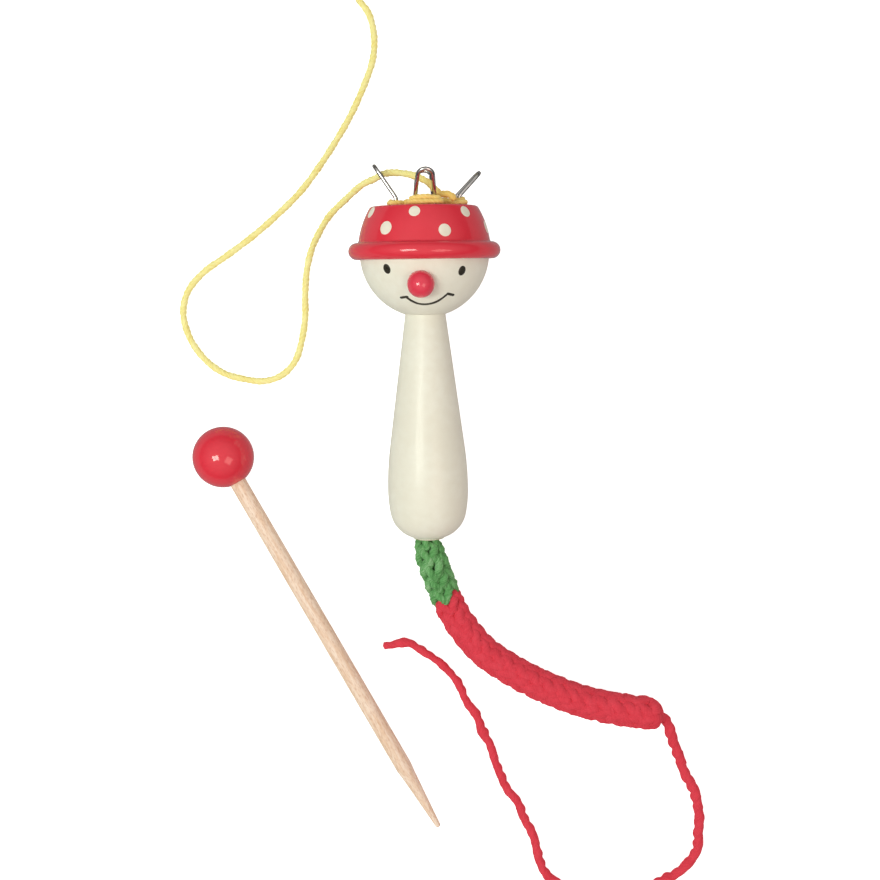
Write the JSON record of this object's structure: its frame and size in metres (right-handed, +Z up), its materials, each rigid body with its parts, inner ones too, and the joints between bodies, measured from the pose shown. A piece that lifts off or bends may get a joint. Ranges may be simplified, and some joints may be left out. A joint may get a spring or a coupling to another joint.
{
  "type": "knitting nancy",
  "caption": "Wooden spool-knitting doll with a dotted hat, bent wire staples and a bore that feeds a knitted cord, lying beside its bead-ended lifting needle.",
  "frame": {"origin": "on the table, under the middle of the box round the laid doll and its needle", "axes": "+Z up from the table, +Y from the doll's handle towards its hat, +X to the right with the face up"},
  "size_m": [0.163, 0.3178, 0.0444],
  "materials": {
    "ivory_paint": "satin ivory enamel on turned wood",
    "red_paint": "gloss red enamel on turned wood",
    "steel_wire": "bright drawn wire",
    "yellow_yarn": "plied yarn",
    "green_yarn": "plied yarn, knitted",
    "red_yarn": "plied yarn, knitted",
    "beech": "sanded bare wood"
  },
  "bodies": {
    "doll": {"handle": "ivory_paint", "head": "ivory_paint", "hat": "red_paint", "nose": "red_paint", "staple_front": "steel_wire", "staple_back": "steel_wire", "staple_left": "steel_wire", "staple_right": "steel_wire", "stitch_loops": "yellow_yarn", "knitted_core": "green_yarn", "knitted_cord_green": "green_yarn", "knitted_cord_red": "red_yarn", "tail_yarn": "red_yarn", "working_yarn": "yellow_yarn", "yarn_coil": "yellow_yarn", "coil_tie": "yellow_yarn"},
    "needle": {"needle_shaft": "beech", "needle_bead": "red_paint"}
  },
  "joints": [
    {"name": "needle_lift", "type": "slide", "parent": "doll", "child": "needle", "axis": [0, 0, 1], "range_m": [0, 0.12]}
  ]
}
